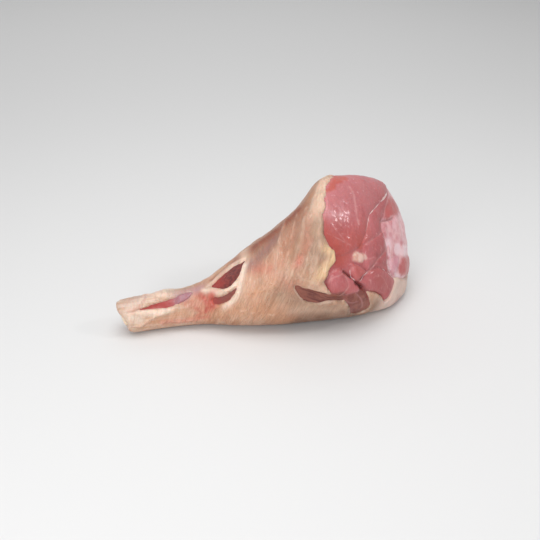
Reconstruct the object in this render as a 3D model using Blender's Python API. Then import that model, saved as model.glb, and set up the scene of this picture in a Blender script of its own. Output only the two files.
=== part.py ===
"""Raw lamb shank: the lower leg on the bone, from the sawn hock to the cut through the thigh.

The leg lies along X with the thin hock at -X and its underside on Z = 0. The thick end is cut obliquely,
and the domed cut face looks to +X, to the front (-Y) and a little up. One closed body, worked out from a
table of cross sections, two end cuts, and the relief of the meat on them.
"""

import bmesh
import bpy
import numpy as np

# Cross sections of the leg: distance along X, height and width there, and how far the middle lies from Y = 0.
STATION_X = [-0.134, -0.111, -0.089, -0.067, -0.044, -0.021, 0.001, 0.023, 0.046, 0.071, 0.101, 0.151]
HEIGHT = [0.0309, 0.0316, 0.0326, 0.0377, 0.0529, 0.0683, 0.0829, 0.1008, 0.1254, 0.1253, 0.1244, 0.1236]
WIDTH = [0.0284, 0.0290, 0.0307, 0.0366, 0.0529, 0.0697, 0.0804, 0.0909, 0.1062, 0.1061, 0.1053, 0.1046]
MIDDLE_Y = [
    -0.0130, -0.0104, -0.0086, -0.0081, -0.0101, -0.0105, -0.0101, -0.0083, -0.0054, -0.0024, 0.0026, 0.0044,
]
SETTLED = [0.001, 0.001, 0.001, 0.001, 0.0015, 0.002, 0.003, 0.0035, 0.004, 0.004, 0.004, 0.004]
SQUARENESS = 2.15
FLOOR_BLEND = 0.004

# The cut face: the top of its dome, the way it looks, its dome radius and the rounding of its rim.
FACE_TOP = np.array([0.1016, -0.0198, 0.0588])
FACE_TURN = np.radians(44.0)
FACE_TILT = np.radians(19.2)
FACE_DOME = 0.130
FACE_RIM = 0.0088
FACE_MIDDLE = (-0.018, 0.014)

# The far end behind the cut face is blunt: its reach, the way it looks and its rounding.
END_REACH = 0.1385
END_TURN = np.radians(24.0)
END_RIM = 0.016

# The sawn hock: where it crosses the leg's middle, its lean and the rounding of its edge.
HOCK_X = -0.1402
HOCK_Z = 0.014
HOCK_LEAN = np.radians(21.0)
HOCK_RIM = 0.009

# Moves the leg so that the origin lies under the middle of its box.
CENTRING = np.array([0.0032, 0.0009, 0.0])

# The net of points: rings from the hock's middle to the face's middle, and points round each ring.
RINGS = 84
AROUND = 58
HOCK_SHARE = 0.05
FACE_SHARE = 0.36
FACE_ROOT_DEPTH = 0.055
REACH = 0.26
HALVINGS = 22

# Outline of the bare lean on the cut face, anticlockwise, in the face's own plane: across, up.
LEAN_OUTLINE = [
    (-0.017, 0.080), (-0.031, 0.076), (-0.041, 0.069), (-0.046, 0.063), (-0.052, 0.057),
    (-0.057, 0.049), (-0.061, 0.036), (-0.060, 0.026), (-0.064, 0.019), (-0.070, 0.015),
    (-0.073, 0.010), (-0.074, 0.000), (-0.072, -0.010), (-0.062, -0.016), (-0.054, -0.027),
    (-0.046, -0.040), (-0.024, -0.048), (-0.026, -0.033), (-0.016, -0.038), (-0.004, -0.034),
    (0.000, -0.026), (0.012, -0.032), (0.030, -0.033), (0.036, -0.022), (0.024, 0.006),
    (0.030, 0.024), (0.040, 0.046), (0.034, 0.062), (0.012, 0.075),
]
LEAN_WRAP = 0.018

# Openings torn in the fat cover on the front side: the leg's radius there, then the outline as distance
# along X and degrees round the leg, from the front (0) over the top (90).
UPPER_TEAR = [
    (-0.031, 76), (-0.034, 62), (-0.038, 52), (-0.044, 44), (-0.052, 46), (-0.060, 62), (-0.052, 74),
    (-0.042, 83),
]
LOWER_TEAR = [(-0.062, 43), (-0.052, 35), (-0.042, 39), (-0.045, 27), (-0.052, 18), (-0.058, 19)]
HOCK_TEAR = [
    (-0.130, 41), (-0.112, 54), (-0.096, 64), (-0.082, 76), (-0.081, 44), (-0.092, 38), (-0.104, 37),
    (-0.118, 40),
]
FLAP_TEAR = [
    (0.007, 13), (0.015, 10), (0.024, 0), (0.034, -8), (0.048, -14), (0.050, -26), (0.036, -18),
    (0.022, -14), (0.012, -3),
]
TEARS = [(0.025, UPPER_TEAR), (0.025, LOWER_TEAR), (0.0155, HOCK_TEAR), (0.050, FLAP_TEAR)]

LEAN_DROP = 0.0012
COVER_ROLL = 0.0010
TEAR_DEPTH = 0.0018
EDGE_SOFTNESS = 0.0030

# Muscles that stand out of the cut face: across, up, half sizes and height.
MUSCLES = [
    (-0.012, 0.046, 0.040, 0.030, 0.0016),
    (-0.061, -0.004, 0.015, 0.016, 0.0040),
    (-0.047, 0.005, 0.008, 0.012, 0.0038),
    (-0.024, -0.019, 0.021, 0.015, 0.0034),
    (0.010, -0.012, 0.011, 0.011, 0.0022),
    (0.028, -0.024, 0.012, 0.011, 0.0026),
    (-0.040, 0.014, 0.009, 0.009, 0.0014),
]

# Seams between the muscles: points across and up, depth and half width.
TOP_SEAM = [(0.039, 0.044), (0.017, 0.043), (-0.006, 0.041), (-0.015, 0.033)]
MIDDLE_SEAM = [(-0.004, 0.022), (-0.024, 0.018), (-0.034, 0.020)]
LOW_SEAM = [(-0.006, 0.006), (-0.021, 0.006), (-0.033, 0.006)]
ARCH_SEAM = [(-0.045, -0.007), (-0.037, -0.003), (-0.027, -0.001), (-0.019, -0.005), (-0.006, -0.018)]
CREVICE = [(-0.058, 0.009), (-0.053, 0.000), (-0.048, -0.006), (-0.044, -0.014), (-0.037, -0.024)]
BORDER_SEAM = [(0.023, 0.023), (0.011, 0.008), (-0.001, -0.001), (-0.003, -0.014), (0.000, -0.026)]
SEAMS = [
    (TOP_SEAM, 0.0016, 0.0035), (MIDDLE_SEAM, 0.0016, 0.0035), (LOW_SEAM, 0.0014, 0.0035),
    (ARCH_SEAM, 0.0018, 0.0035), (CREVICE, 0.0048, 0.0045), (BORDER_SEAM, 0.0018, 0.0040),
]

# Lumps of fat on the cover at the face's rim: across, up, half sizes and height.
RIM_LUMPS = [
    (0.030, -0.050, 0.014, 0.008, 0.0020),
    (0.066, 0.010, 0.014, 0.016, 0.0012),
    (-0.044, 0.070, 0.012, 0.010, 0.0010),
]
RIM_DEPTH = 0.030

# Swellings and hollows of the muscles under the cover: a line along X and round the leg, half width, height.
BELLIES = [
    ([(-0.101, 112), (-0.099, 114)], 0.008, 0.0018),
    ([(-0.040, 166), (0.000, 172), (0.060, 176)], 0.014, -0.0024),
    ([(-0.030, 205), (0.040, 212), (0.080, 214)], 0.016, 0.0022),
    ([(-0.020, 140), (0.030, 142)], 0.014, 0.0014),
    ([(-0.136, 152), (-0.085, 150)], 0.0035, -0.0012),
    ([(-0.020, 20), (0.020, 38), (0.026, 52)], 0.012, 0.0010),
]

# Below this height the relief fades out, so that the leg lies flat.
FLAT_BELOW = 0.001
RELIEF_ABOVE = 0.010


def profile(values, x):
    """Smooth curve through a station value at each STATION_X, read at x."""
    stations = np.array(STATION_X)
    values = np.array(values)
    step = np.diff(stations)
    slope = np.diff(values) / step
    tangent = np.empty_like(values)
    tangent[0] = slope[0]
    tangent[-1] = slope[-1]
    before = slope[:-1]
    after = slope[1:]
    product = before * after
    steady = np.where(product > 0, 2 * product / np.where(product > 0, before + after, 1.0), 0.0)
    tangent[1:-1] = 0.5 * steady + 0.25 * (before + after)
    x = np.clip(x, stations[0], stations[-1])
    i = np.clip(np.searchsorted(stations, x) - 1, 0, len(step) - 1)
    t = (x - stations[i]) / step[i]
    start = values[i] * (1 + 2 * t) + step[i] * tangent[i] * t
    end = values[i + 1] * (3 - 2 * t) - step[i] * tangent[i + 1] * (1 - t)
    return start * (1 - t) ** 2 + end * t ** 2


def smooth_max(a, b, blend):
    overlap = np.maximum(blend - np.abs(a - b), 0) / blend
    return np.maximum(a, b) + overlap ** 2 * blend / 4


def ease(low, high, x):
    t = np.clip((x - low) / (high - low), 0, 1)
    return t * t * (3 - 2 * t)


def face_axes():
    """The cut face's outward normal, its horizontal direction and its upward direction."""
    turn = FACE_TURN
    tilt = FACE_TILT
    normal = np.array([np.cos(tilt) * np.cos(turn), -np.cos(tilt) * np.sin(turn), np.sin(tilt)])
    across = np.array([np.sin(turn), np.cos(turn), 0.0])
    up = np.cross(across, -normal)
    return normal, across, up


def face_place(points):
    """Place of each point on the cut face: across, up, and how far it lies below the face's top."""
    normal, across, up = face_axes()
    offset = points - FACE_TOP
    return offset @ across, offset @ up, -(offset @ normal)


def leg_place(points, nearest_to=0.0):
    """Degrees round the leg from the front over the top, counted within half a turn of nearest_to."""
    x = points[:, 0]
    half_height = (profile(HEIGHT, x) + profile(SETTLED, x)) / 2
    middle_z = profile(HEIGHT, x) - half_height
    angle = np.degrees(np.arctan2(points[:, 2] - middle_z, profile(MIDDLE_Y, x) - points[:, 1]))
    return (angle - nearest_to + 180) % 360 - 180 + nearest_to


def outside(points):
    """Above zero outside the smooth leg, below zero inside."""
    x, y, z = points.T
    height = profile(HEIGHT, x)
    half_height = (height + profile(SETTLED, x)) / 2
    half_width = profile(WIDTH, x) / 2
    across = np.abs((y - profile(MIDDLE_Y, x)) / half_width)
    upward = np.abs((z - height + half_height) / half_height)
    ratio = (across ** SQUARENESS + upward ** SQUARENESS) ** (1 / SQUARENESS)
    side = smooth_max((ratio - 1) * np.minimum(half_width, half_height), -z, FLOOR_BLEND)
    face_across, face_up, below = face_place(points)
    face = (face_across ** 2 + face_up ** 2) / (2 * FACE_DOME) - below
    end = x * np.cos(END_TURN) + y * np.sin(END_TURN) - END_REACH
    hock = (HOCK_X - x) * np.cos(HOCK_LEAN) + (HOCK_Z - z) * np.sin(HOCK_LEAN)
    thick_end = smooth_max(smooth_max(side, end, END_RIM), face, FACE_RIM)
    return smooth_max(thick_end, hock, HOCK_RIM)


def skin(share, turn):
    """Points on the smooth leg: share runs from the hock's middle to the face's, turn goes round the leg."""
    normal, across, up = face_axes()
    face_middle = FACE_TOP + FACE_MIDDLE[0] * across + FACE_MIDDLE[1] * up
    face_root = face_middle - FACE_ROOT_DEPTH * normal
    hock_root = np.array([HOCK_X + HOCK_Z, 0.0, HOCK_Z])
    along = np.clip((share - HOCK_SHARE) / (1 - HOCK_SHARE - FACE_SHARE), 0, 1)
    start = hock_root + along[:, None] * (face_root - hock_root)
    to_face_y = along ** 2
    to_face_z = along ** 4
    start[:, 1] = profile(MIDDLE_Y, start[:, 0]) * (1 - to_face_y) + face_root[1] * to_face_y
    start[:, 2] = 0.48 * profile(HEIGHT, start[:, 0]) * (1 - to_face_z) + face_root[2] * to_face_z
    swing = ease(0.45, 1.0, along)[:, None]
    axis = (1 - swing) * np.array([1.0, 0.0, 0.0]) + swing * normal
    axis /= np.linalg.norm(axis, axis=1)[:, None]
    front = np.cross(axis, [0.0, 0.0, 1.0])
    front /= np.linalg.norm(front, axis=1)[:, None]
    top = np.cross(front, axis)
    lean_back = np.clip(1 - share / HOCK_SHARE, 0, 1)
    lean_on = np.clip(1 - (1 - share) / FACE_SHARE, 0, 1)
    lean = (np.pi / 2 * (lean_on - lean_back))[:, None]
    round_leg = np.cos(turn)[:, None] * front + np.sin(turn)[:, None] * top
    ray = np.cos(lean) * round_leg + np.sin(lean) * axis
    near = np.zeros(len(share))
    far = np.full(len(share), REACH)
    for _ in range(HALVINGS):
        middle = (near + far) / 2
        inside = outside(start + ray * middle[:, None]) < 0
        near = np.where(inside, middle, near)
        far = np.where(inside, far, middle)
    return start + ray * near[:, None]


def outward(points):
    """Unit vector straight out of the smooth leg at each point."""
    reach = 0.0005
    slope = [outside(points + step) - outside(points - step) for step in np.eye(3) * reach]
    slope = np.array(slope).T
    return slope / np.linalg.norm(slope, axis=1)[:, None]


def line_distance(x, y, line):
    """Distance of each point from an open line of points."""
    nearest = np.full(len(x), 1.0)
    for (x0, y0), (x1, y1) in zip(line[:-1], line[1:]):
        dx = x1 - x0
        dy = y1 - y0
        t = np.clip(((x - x0) * dx + (y - y0) * dy) / (dx * dx + dy * dy), 0, 1)
        nearest = np.minimum(nearest, np.hypot(x - x0 - t * dx, y - y0 - t * dy))
    return nearest


def inside_depth(x, y, outline):
    """Distance from a closed outline, above zero inside it."""
    closed = outline + outline[:1]
    within = np.zeros(len(x), bool)
    for (x0, y0), (x1, y1) in zip(closed[:-1], closed[1:]):
        if y0 != y1:
            crosses = ((y0 > y) != (y1 > y)) & (x < (x1 - x0) * (y - y0) / (y1 - y0) + x0)
            within ^= crosses
    distance = line_distance(x, y, closed)
    return np.where(within, distance, -distance)


def lean_depth(points):
    """How far each point lies inside the bare lean of the cut face, below zero under the fat cover."""
    across, up, below = face_place(points)
    wrap = below - (across ** 2 + up ** 2) / (2 * FACE_DOME)
    return np.minimum(inside_depth(across, up, LEAN_OUTLINE), LEAN_WRAP - wrap)


def tear_depth(points):
    """How far each point lies inside one of the tears in the fat cover."""
    round_leg = np.radians(leg_place(points))
    depth = np.full(len(points), -1.0)
    for radius, outline in TEARS:
        flat = [(x, np.radians(angle) * radius) for x, angle in outline]
        depth = np.maximum(depth, inside_depth(points[:, 0], round_leg * radius, flat))
    return depth


def relief(points):
    """Height of the meat's relief over the smooth leg."""
    across, up, below = face_place(points)
    lean = lean_depth(points)
    on_face = ease(-EDGE_SOFTNESS, EDGE_SOFTNESS, lean)
    height = -LEAN_DROP * on_face
    height += COVER_ROLL * np.exp(-((lean + EDGE_SOFTNESS) / (1.5 * EDGE_SOFTNESS)) ** 2)
    height -= TEAR_DEPTH * ease(-EDGE_SOFTNESS / 3, EDGE_SOFTNESS, tear_depth(points)) * (1 - on_face)
    for middle_across, middle_up, half_across, half_up, swell in MUSCLES:
        ratio = ((across - middle_across) / half_across) ** 2 + ((up - middle_up) / half_up) ** 2
        height += swell * np.clip(1 - ratio, 0, 1) * on_face
    for line, depth, half_width in SEAMS:
        height -= depth * np.exp(-(line_distance(across, up, line) / half_width) ** 2) * on_face
    near_rim = ease(RIM_DEPTH, 0, np.abs(below - (across ** 2 + up ** 2) / (2 * FACE_DOME)))
    for middle_across, middle_up, half_across, half_up, swell in RIM_LUMPS:
        ratio = ((across - middle_across) / half_across) ** 2 + ((up - middle_up) / half_up) ** 2
        height += swell * np.exp(-ratio) * near_rim
    radius = profile(WIDTH, points[:, 0]) / 2
    for line, half_width, swell in BELLIES:
        start_angle = line[0][1]
        arc = np.radians(leg_place(points, start_angle) - start_angle) * radius
        line_radius = profile(WIDTH, np.array([x for x, _ in line])) / 2
        flat = [(x, np.radians(angle - start_angle) * r) for (x, angle), r in zip(line, line_radius)]
        height += swell * np.exp(-(line_distance(points[:, 0], arc, flat) / half_width) ** 2) * (1 - on_face)
    return height * ease(FLAT_BELOW, RELIEF_ABOVE, points[:, 2])


def finish(name, colour, roughness):
    """A material with one colour and roughness."""
    material = bpy.data.materials.new(name)
    material.use_nodes = True
    shader = material.node_tree.nodes["Principled BSDF"]
    shader.inputs["Base Color"].default_value = (*colour, 1.0)
    shader.inputs["Roughness"].default_value = roughness
    shader.inputs["Metallic"].default_value = 0.0
    return material


def make_shank():
    """A ball of rings, each point moved out to the leg's surface."""
    net = bmesh.new()
    bmesh.ops.create_uvsphere(net, u_segments=AROUND, v_segments=RINGS, radius=1.0)
    ball = np.array([vertex.co for vertex in net.verts])
    share = np.arccos(np.clip(-ball[:, 2], -1, 1)) / np.pi
    turn = np.arctan2(ball[:, 1], ball[:, 0])
    smooth = skin(share, turn)
    points = smooth + outward(smooth) * relief(smooth)[:, None]
    points[:, 2] = np.maximum(points[:, 2], 0.0)
    points += CENTRING
    bare = np.maximum(lean_depth(smooth), tear_depth(smooth)) > 0
    for vertex, point in zip(net.verts, points):
        vertex.co = point
    for face in net.faces:
        face.smooth = True
        face.material_index = int(all(bare[vertex.index] for vertex in face.verts))
    bmesh.ops.recalc_face_normals(net, faces=net.faces)
    mesh = bpy.data.meshes.new("shank")
    net.to_mesh(mesh)
    net.free()
    mesh.materials.append(finish("fat_cover", (0.66, 0.42, 0.30), 0.40))
    mesh.materials.append(finish("bare_lean", (0.46, 0.13, 0.12), 0.35))
    shank = bpy.data.objects.new("shank", mesh)
    bpy.context.collection.objects.link(shank)


for old in list(bpy.data.objects):
    bpy.data.objects.remove(old, do_unlink=True)
make_shank()
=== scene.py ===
"""Looks of the raw lamb shank: bare muscle, the fat cover over it, silverskin and the sawn bone."""

import math

import bpy
import numpy as np
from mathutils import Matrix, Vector, noise


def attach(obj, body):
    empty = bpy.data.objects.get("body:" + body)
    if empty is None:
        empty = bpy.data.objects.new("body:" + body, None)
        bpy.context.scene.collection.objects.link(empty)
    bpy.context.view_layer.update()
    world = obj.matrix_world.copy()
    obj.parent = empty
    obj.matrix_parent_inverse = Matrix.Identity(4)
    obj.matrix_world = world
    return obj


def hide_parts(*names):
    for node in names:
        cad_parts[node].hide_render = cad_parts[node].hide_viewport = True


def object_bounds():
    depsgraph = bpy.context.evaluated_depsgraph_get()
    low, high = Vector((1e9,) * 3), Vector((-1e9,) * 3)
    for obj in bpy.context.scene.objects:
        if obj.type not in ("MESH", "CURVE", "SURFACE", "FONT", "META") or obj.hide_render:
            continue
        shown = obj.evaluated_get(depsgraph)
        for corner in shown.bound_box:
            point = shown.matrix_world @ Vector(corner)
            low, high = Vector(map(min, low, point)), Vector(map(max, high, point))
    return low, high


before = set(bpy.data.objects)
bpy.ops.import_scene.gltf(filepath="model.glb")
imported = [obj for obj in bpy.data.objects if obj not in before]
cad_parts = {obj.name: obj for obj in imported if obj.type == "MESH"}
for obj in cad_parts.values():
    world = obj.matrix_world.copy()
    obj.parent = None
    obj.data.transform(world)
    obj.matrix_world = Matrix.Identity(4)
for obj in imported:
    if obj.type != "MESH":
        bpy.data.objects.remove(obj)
solid_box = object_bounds()
bpy.ops.object.select_all(action="DESELECT")

# The view: a camera above the front of the board, looking down at the leg's front side.
# It stands 345 mm up and about 540 mm in front, turned a little to the right.
camera_place = (-0.0953, -0.5339, 0.345)
camera_down = math.radians(29.2)
camera_turn = math.radians(-10.0)
bpy.ops.object.camera_add(location=camera_place, rotation=(math.pi / 2 - camera_down, 0.0, camera_turn))
camera = bpy.context.object
camera.data.lens = 45.73
camera.data.sensor_width = 36.0
bpy.context.scene.camera = camera
bpy.context.scene.view_settings.view_transform = "Standard"


def node(tree, kind, sockets, **settings):
    """Adds a shader node, and links or sets its sockets by name or number."""
    made = tree.nodes.new("ShaderNode" + kind)
    for name, value in settings.items():
        setattr(made, name, value)
    for name, value in sockets.items():
        if isinstance(value, bpy.types.NodeSocket):
            tree.links.new(value, made.inputs[name])
        else:
            made.inputs[name].default_value = value
    return made


def new_material(name):
    """An empty procedural material: its tree and its Principled shader."""
    material = bpy.data.materials.new(name)
    material.use_nodes = True
    return material, material.node_tree, material.node_tree.nodes["Principled BSDF"]


# The studio: a pale plain floor, one wide soft light overhead, a weak one from the left and a small one
# from the right that glints on the moist face. White surroundings fill the shadows.
bpy.ops.mesh.primitive_plane_add(size=8.0, location=(0.0, 0.0, 0.0))
floor = bpy.context.object
floor.name = "floor"
floor_material, floor_tree, floor_shader = new_material("pale_floor")
floor_shader.inputs["Base Color"].default_value = (0.72, 0.72, 0.72, 1.0)
floor_shader.inputs["Roughness"].default_value = 0.7
floor.data.materials.append(floor_material)

surroundings = bpy.data.worlds.new("white_surroundings")
surroundings.use_nodes = True
background = surroundings.node_tree.nodes["Background"]
background.inputs["Color"].default_value = (1.0, 1.0, 1.0, 1.0)
background.inputs["Strength"].default_value = 0.48
bpy.context.scene.world = surroundings

shank_middle = Vector((0.03, 0.0, 0.06))
floor_behind = Vector((0.0, 1.9, 0.0))
for light_name, place, target, size, power in [
    ("overhead", (-0.05, -0.1, 0.95), shank_middle, 0.7, 4.6),
    ("left_front", (-0.55, -0.85, 0.45), shank_middle, 0.6, 5.3),
    ("right_glint", (0.85, -0.3, 0.75), shank_middle, 0.14, 1.4),
    ("back_of_floor", (0.0, 1.7, 1.1), floor_behind, 2.2, 7.0),
]:
    bpy.ops.object.light_add(type="AREA", location=place)
    light = bpy.context.object
    light.name = light_name
    light.data.size = size
    light.data.energy = power
    light.rotation_euler = (target - Vector(place)).to_track_quat("-Z", "Y").to_euler()


# The lean: the muscles of the leg, one body under the fat cover, bare on the oblique cut face and in the
# tears. The leg's form is the solid's: cross sections along X, the domed cut, the blunt far end and the
# sawn hock. Each point of a fine ball is moved out to that form and then to the muscles' relief.
STATION_X = [-0.134, -0.111, -0.089, -0.067, -0.044, -0.021, 0.001, 0.023, 0.046, 0.071, 0.101, 0.151]
HEIGHT = [0.0309, 0.0316, 0.0326, 0.0377, 0.0529, 0.0683, 0.0829, 0.1008, 0.1254, 0.1253, 0.1244, 0.1236]
WIDTH = [0.0284, 0.029, 0.0307, 0.0366, 0.0529, 0.0697, 0.0804, 0.0909, 0.1062, 0.1061, 0.1053, 0.1046]
MIDDLE_Y = [
    -0.013, -0.0104, -0.0086, -0.0081, -0.0101, -0.0105, -0.0101, -0.0083, -0.0054, -0.0024, 0.0026,
    0.0044,
]
SETTLED = [0.001, 0.001, 0.001, 0.001, 0.0015, 0.002, 0.003, 0.0035, 0.004, 0.004, 0.004, 0.004]
SQUARENESS = 2.15
FLOOR_BLEND = 0.004
FACE_TOP = np.array([0.1016, -0.0198, 0.0588])
FACE_TURN = math.radians(44.0)
FACE_TILT = math.radians(19.2)
FACE_DOME = 0.13
FACE_RIM = 0.0088
FACE_MIDDLE = (-0.018, 0.014)
FACE_ROOT_DEPTH = 0.055
END_REACH = 0.1385
END_TURN = math.radians(24.0)
END_RIM = 0.016
HOCK_X = -0.1402
HOCK_Z = 0.014
HOCK_LEAN = math.radians(21.0)
HOCK_RIM = 0.009
CENTRING = np.array([0.0032, 0.0009, 0.0])

face_normal = np.array([
    math.cos(FACE_TILT) * math.cos(FACE_TURN),
    -math.cos(FACE_TILT) * math.sin(FACE_TURN),
    math.sin(FACE_TILT),
])
face_across = np.array([math.sin(FACE_TURN), math.cos(FACE_TURN), 0.0])
face_up = np.cross(face_across, -face_normal)


def ease(low, high, x):
    t = np.clip((x - low) / (high - low), 0, 1)
    return t * t * (3 - 2 * t)


def profile(values, x):
    """Smooth curve through a station value at each STATION_X, read at x."""
    stations = np.array(STATION_X)
    values = np.array(values)
    step = np.diff(stations)
    slope = np.diff(values) / step
    tangent = np.empty_like(values)
    tangent[0] = slope[0]
    tangent[-1] = slope[-1]
    before = slope[:-1]
    after = slope[1:]
    product = before * after
    steady = np.where(product > 0, 2 * product / np.where(product > 0, before + after, 1.0), 0.0)
    tangent[1:-1] = 0.5 * steady + 0.25 * (before + after)
    x = np.clip(x, stations[0], stations[-1])
    i = np.clip(np.searchsorted(stations, x) - 1, 0, len(step) - 1)
    t = (x - stations[i]) / step[i]
    start = values[i] * (1 + 2 * t) + step[i] * tangent[i] * t
    end = values[i + 1] * (3 - 2 * t) - step[i] * tangent[i + 1] * (1 - t)
    return start * (1 - t) ** 2 + end * t ** 2


def smooth_max(a, b, blend):
    overlap = np.maximum(blend - np.abs(a - b), 0) / blend
    return np.maximum(a, b) + overlap ** 2 * blend / 4


def face_place(points):
    """Place on the cut face: across, up, and how far under the smooth dome."""
    offset = points - FACE_TOP
    across = offset @ face_across
    up = offset @ face_up
    return across, up, -(offset @ face_normal) - (across ** 2 + up ** 2) / (2 * FACE_DOME)


def outside(points):
    """Above zero outside the smooth leg, below zero inside."""
    x, y, z = points.T
    height = profile(HEIGHT, x)
    half_height = (height + profile(SETTLED, x)) / 2
    half_width = profile(WIDTH, x) / 2
    sideways = np.abs((y - profile(MIDDLE_Y, x)) / half_width)
    upward = np.abs((z - height + half_height) / half_height)
    ratio = (sideways ** SQUARENESS + upward ** SQUARENESS) ** (1 / SQUARENESS)
    side = smooth_max((ratio - 1) * np.minimum(half_width, half_height), -z, FLOOR_BLEND)
    end = x * math.cos(END_TURN) + y * math.sin(END_TURN) - END_REACH
    thick_end = smooth_max(smooth_max(side, end, END_RIM), -face_place(points)[2], FACE_RIM)
    hock = (HOCK_X - x) * math.cos(HOCK_LEAN) + (HOCK_Z - z) * math.sin(HOCK_LEAN)
    return smooth_max(thick_end, hock, HOCK_RIM)


def slope_of(depth, points, reach=0.0004):
    """How fast a depth grows along X, Y and Z at each point."""
    return np.array([depth(points + s) - depth(points - s) for s in np.eye(3) * reach]).T / (2 * reach)


def outward(points):
    slope = slope_of(outside, points)
    return slope / np.linalg.norm(slope, axis=1)[:, None]


def cast(start, ray):
    """Where rays from inside the leg come out of its smooth form."""
    near = np.zeros(len(start))
    far = np.full(len(start), 0.26)
    for _ in range(20):
        middle = (near + far) / 2
        inside = outside(start + ray * middle[:, None]) < 0
        near = np.where(inside, middle, near)
        far = np.where(inside, far, middle)
    return start + ray * near[:, None]


def skin(share, turn, hock_share, face_share):
    """Points on the smooth leg: share runs from the hock's middle to the face's, turn goes round the leg."""
    face_middle = FACE_TOP + FACE_MIDDLE[0] * face_across + FACE_MIDDLE[1] * face_up
    face_root = face_middle - FACE_ROOT_DEPTH * face_normal
    hock_root = np.array([HOCK_X + HOCK_Z, 0.0, HOCK_Z])
    along = np.clip((share - hock_share) / (1 - hock_share - face_share), 0, 1)
    start = hock_root + along[:, None] * (face_root - hock_root)
    start[:, 1] = profile(MIDDLE_Y, start[:, 0]) * (1 - along ** 2) + face_root[1] * along ** 2
    start[:, 2] = 0.48 * profile(HEIGHT, start[:, 0]) * (1 - along ** 4) + face_root[2] * along ** 4
    swing = ease(0.45, 1.0, along)[:, None]
    axis = (1 - swing) * np.array([1.0, 0.0, 0.0]) + swing * face_normal
    axis /= np.linalg.norm(axis, axis=1)[:, None]
    front = np.cross(axis, [0.0, 0.0, 1.0])
    front /= np.linalg.norm(front, axis=1)[:, None]
    top = np.cross(front, axis)
    lean_back = np.clip(1 - share / hock_share, 0, 1)
    lean_on = np.clip(1 - (1 - share) / face_share, 0, 1)
    lean = (np.pi / 2 * (lean_on - lean_back))[:, None]
    around = np.cos(turn)[:, None] * front + np.sin(turn)[:, None] * top
    return cast(start, np.cos(lean) * around + np.sin(lean) * axis)


def fine_ball(name, segments, rings):
    """A ball of many small faces: the piece, and each point's share from pole to pole and turn round them."""
    bpy.ops.mesh.primitive_uv_sphere_add(segments=segments, ring_count=rings, radius=1.0)
    piece = bpy.context.object
    piece.name = name
    piece.data.name = name
    ball = np.empty(len(piece.data.vertices) * 3)
    piece.data.vertices.foreach_get("co", ball)
    ball = ball.reshape(-1, 3)
    bpy.ops.object.shade_smooth()
    return piece, np.arccos(np.clip(-ball[:, 2], -1, 1)) / np.pi, np.arctan2(ball[:, 1], ball[:, 0])


def shape(piece, points):
    """Moves the piece's points to their places in the shared frame, within the solid's box."""
    placed = np.clip(points + CENTRING, np.array(solid_box[0]) + 0.00002, np.array(solid_box[1]) - 0.00002)
    piece.data.vertices.foreach_set("co", placed.astype(np.float32).ravel())
    piece.data.update()


def paint(piece, name, values):
    """Writes one number for each point, for the material to read."""
    attribute = piece.data.attributes.new(name, "FLOAT", "POINT")
    attribute.data.foreach_set("value", np.asarray(values, np.float32))


def grain(points, size, seed):
    """Smooth random bumps of about that size, from -1 to 1."""
    shift = Vector((seed * 7.3, seed * 3.1, seed * 5.7))
    return np.array([noise.noise(Vector(p) / size + shift) for p in points])


def leg_angle(points, nearest_to=0.0):
    """Degrees round the leg from the front over the top, within half a turn of nearest_to."""
    x = points[:, 0]
    half_height = (profile(HEIGHT, x) + profile(SETTLED, x)) / 2
    middle_z = profile(HEIGHT, x) - half_height
    angle = np.degrees(np.arctan2(points[:, 2] - middle_z, profile(MIDDLE_Y, x) - points[:, 1]))
    return (angle - nearest_to + 180) % 360 - 180 + nearest_to


def curve(line, closed=False):
    """A smooth line through a few points."""
    points = np.array(line, float)
    if closed:
        points = np.vstack([points[-1:], points, points[:2]])
    else:
        points = np.vstack([2 * points[:1] - points[1:2], points, 2 * points[-1:] - points[-2:-1]])
    steps = np.arange(0, 1, 0.2)[:, None]
    parts = []
    for p0, p1, p2, p3 in zip(points[:-3], points[1:-2], points[2:-1], points[3:]):
        bend = (2 * p0 - 5 * p1 + 4 * p2 - p3) * steps ** 2 + (3 * p1 - p0 - 3 * p2 + p3) * steps ** 3
        parts.append((2 * p1 + (p2 - p0) * steps + bend) / 2)
    if not closed:
        parts.append(points[-2:-1])
    return [tuple(p) for p in np.vstack(parts)]


def line_distance(x, y, line, reach=0.02):
    """Distance of each point from an open line of points, no more than reach."""
    low_x, low_y = np.min(line, axis=0) - reach
    high_x, high_y = np.max(line, axis=0) + reach
    close = (x > low_x) & (x < high_x) & (y > low_y) & (y < high_y)
    near_x = x[close]
    near_y = y[close]
    shortest = np.full(len(near_x), reach)
    for (x0, y0), (x1, y1) in zip(line[:-1], line[1:]):
        dx = x1 - x0
        dy = y1 - y0
        t = np.clip(((near_x - x0) * dx + (near_y - y0) * dy) / (dx * dx + dy * dy), 0, 1)
        shortest = np.minimum(shortest, np.hypot(near_x - x0 - t * dx, near_y - y0 - t * dy))
    distance = np.full(len(x), reach)
    distance[close] = shortest
    return distance


def leg_distance(points, line):
    """Distance in mm on the leg's surface from a line given along X in mm and in degrees round the leg."""
    start_angle = line[0][1]
    arc = np.radians(leg_angle(points, start_angle) - start_angle) * profile(WIDTH, points[:, 0]) / 2
    radii = profile(WIDTH, np.array([x for x, _ in line]) / 1000) / 2
    flat = [(x / 1000, math.radians(angle - start_angle) * r) for (x, angle), r in zip(line, radii)]
    return 1000 * line_distance(points[:, 0], arc, curve(flat))


def face_distance(across, up, line):
    """Distance in mm on the cut face from a line given in mm across and up the face."""
    return 1000 * line_distance(across, up, curve(np.array(line) / 1000))


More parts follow.
